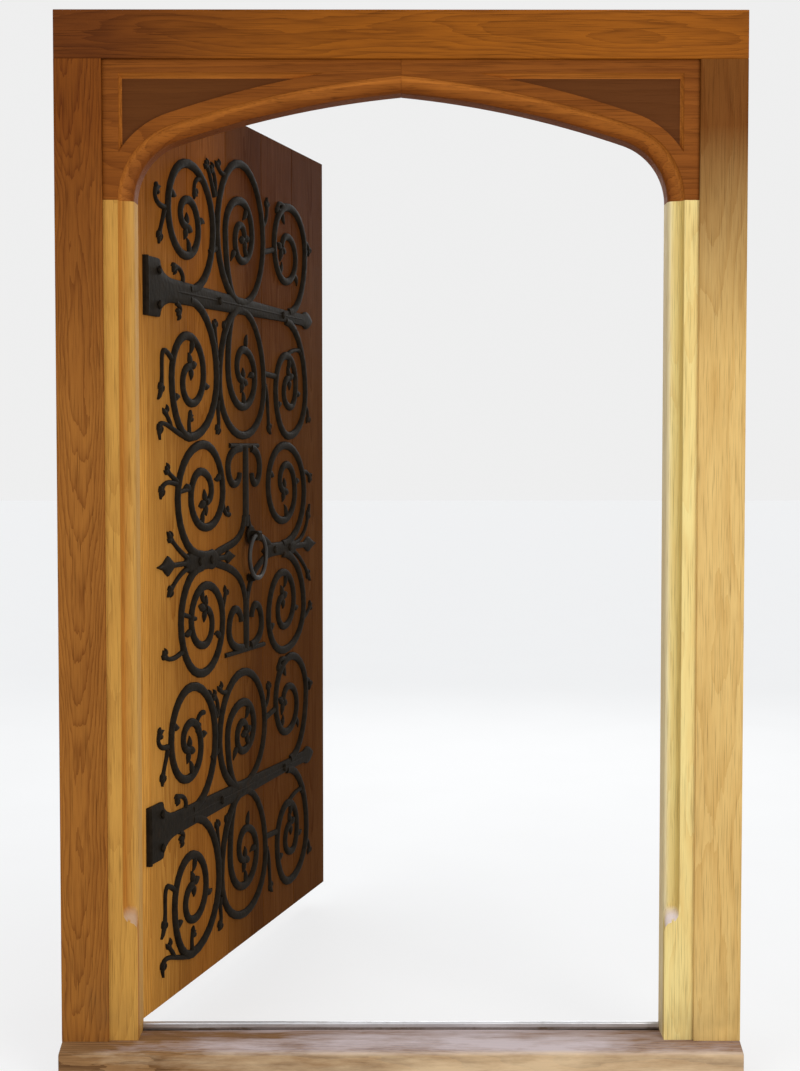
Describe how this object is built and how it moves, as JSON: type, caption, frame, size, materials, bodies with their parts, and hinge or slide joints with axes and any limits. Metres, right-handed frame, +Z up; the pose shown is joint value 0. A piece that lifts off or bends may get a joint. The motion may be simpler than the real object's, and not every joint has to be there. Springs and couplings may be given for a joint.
{
  "type": "arched wooden door with frame",
  "caption": "Oak doorway with a moulded, slightly pointed arched head, a planked leaf standing open on butt hinges, wrought strap ironwork and a ring knocker.",
  "frame": {"origin": "middle of the sill's underside, at the depth of the posts' front face", "axes": "+Z up, +X to the lock side, +Y inwards through the wall"},
  "size_m": [1.423, 1.3765, 2.2135],
  "materials": {
    "sill_oak": "oiled, worn",
    "arch_oak": "stained",
    "lining_oak": "oiled",
    "post_oak": "oiled",
    "leaf_oak": "stained",
    "wrought_iron": "hammered, blackened",
    "weather_bar_metal": "galvanised",
    "hinge_steel": "satin",
    "lock_steel": "satin",
    "bolt_steel": "satin"
  },
  "bodies": {
    "frame": {"sill": "sill_oak", "weather_bar": "weather_bar_metal", "head_beam": "arch_oak", "left_arch_half": "arch_oak", "right_arch_half": "arch_oak", "left_lining": "lining_oak", "right_lining": "lining_oak", "left_post": "post_oak", "right_post": "post_oak", "strike_plate": "lock_steel", "upper_hinge_frame_flap": "hinge_steel", "upper_hinge_pin": "hinge_steel", "middle_hinge_frame_flap": "hinge_steel", "middle_hinge_pin": "hinge_steel", "lower_hinge_frame_flap": "hinge_steel", "lower_hinge_pin": "hinge_steel"},
    "leaf": {"hinge_stile": "leaf_oak", "lock_stile": "leaf_oak", "top_rail": "leaf_oak", "upper_ledge": "leaf_oak", "middle_ledge": "leaf_oak", "lower_ledge": "leaf_oak", "bottom_rail": "leaf_oak", "face_board_1": "leaf_oak", "face_board_2": "leaf_oak", "face_board_3": "leaf_oak", "face_board_4": "leaf_oak", "face_board_5": "leaf_oak", "face_board_6": "leaf_oak", "upper_strap_work": "wrought_iron", "middle_scroll_work": "wrought_iron", "lower_strap_work": "wrought_iron", "ironwork_screws": "wrought_iron", "knocker_boss": "wrought_iron", "knocker_stud": "wrought_iron", "lock_case": "lock_steel", "lock_forend": "lock_steel", "key_escutcheon": "wrought_iron", "upper_hinge_leaf_flap": "hinge_steel", "middle_hinge_leaf_flap": "hinge_steel", "lower_hinge_leaf_flap": "hinge_steel"},
    "knocker": {"knocker_ring": "wrought_iron"},
    "bolt": {"lock_bolt": "bolt_steel"}
  },
  "joints": [
    {"name": "leaf_swing", "type": "hinge", "parent": "frame", "child": "leaf", "pos_m": [-0.632, 0.129, 1], "axis": [0, 0, 1], "range_deg": [-73.2, 26.8]},
    {"name": "knocker_lift", "type": "hinge", "parent": "leaf", "child": "knocker", "pos_m": [-0.3613, 0.7627, 1.0985], "axis": [-0.289, -0.9573, 0], "range_deg": [0, 80]},
    {"name": "lock_throw", "type": "slide", "parent": "leaf", "child": "bolt", "axis": [0.289, 0.9573, 0], "range_m": [0, 0.02]}
  ]
}
